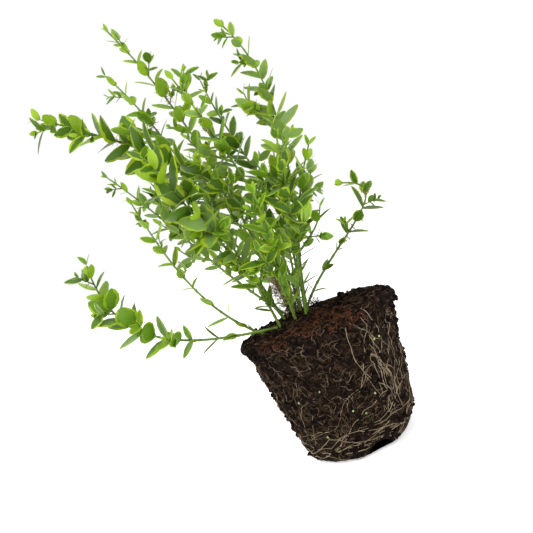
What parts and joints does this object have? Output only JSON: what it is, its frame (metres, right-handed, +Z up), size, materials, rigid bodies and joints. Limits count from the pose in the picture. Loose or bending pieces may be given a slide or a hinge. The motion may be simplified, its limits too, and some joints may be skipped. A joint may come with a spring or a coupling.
{
  "type": "euonymus plant on its root ball",
  "caption": "A young gold-edged euonymus out of its pot, with long leafy shoots rising from a tapered root ball",
  "frame": {"origin": "middle of the root ball's flat underside", "axes": "+Z up; the pictured front is seen looking along +Y, with +X to the right"},
  "size_m": [0.2349, 0.2117, 0.37],
  "materials": {
    "soil": "matte",
    "bark": "matte",
    "green_stem": "satin",
    "leaf": "satin"
  },
  "bodies": {
    "root": {"bough_arching_right": "green_stem", "bough_back_left": "green_stem", "bough_back_middle": "green_stem", "bough_back_right": "green_stem", "bough_dark_left": "green_stem", "bough_far_left": "green_stem", "bough_front_inner": "green_stem", "bough_front_left": "green_stem", "bough_front_main": "green_stem", "bough_front_right": "green_stem", "bough_low_back": "green_stem", "bough_low_left": "green_stem", "bough_right_edge": "green_stem", "bough_tallest": "green_stem", "bough_thin_left": "green_stem", "bough_upper_inner": "green_stem", "bough_upper_left": "green_stem", "bough_upper_middle": "green_stem", "bough_upper_right": "green_stem", "foliage_arching_right": "leaf", "foliage_back_left": "leaf", "foliage_back_middle": "leaf", "foliage_back_right": "leaf", "foliage_dark_left": "leaf", "foliage_far_left": "leaf", "foliage_front_inner": "leaf", "foliage_front_left": "leaf", "foliage_front_main": "leaf", "foliage_front_right": "leaf", "foliage_low_back": "leaf", "foliage_low_left": "leaf", "foliage_right_edge": "leaf", "foliage_tallest": "leaf", "foliage_thin_left": "leaf", "foliage_upper_inner": "leaf", "foliage_upper_left": "leaf", "foliage_upper_middle": "leaf", "foliage_upper_right": "leaf", "root_ball": "soil", "woody_base": "bark"}
  },
  "joints": []
}
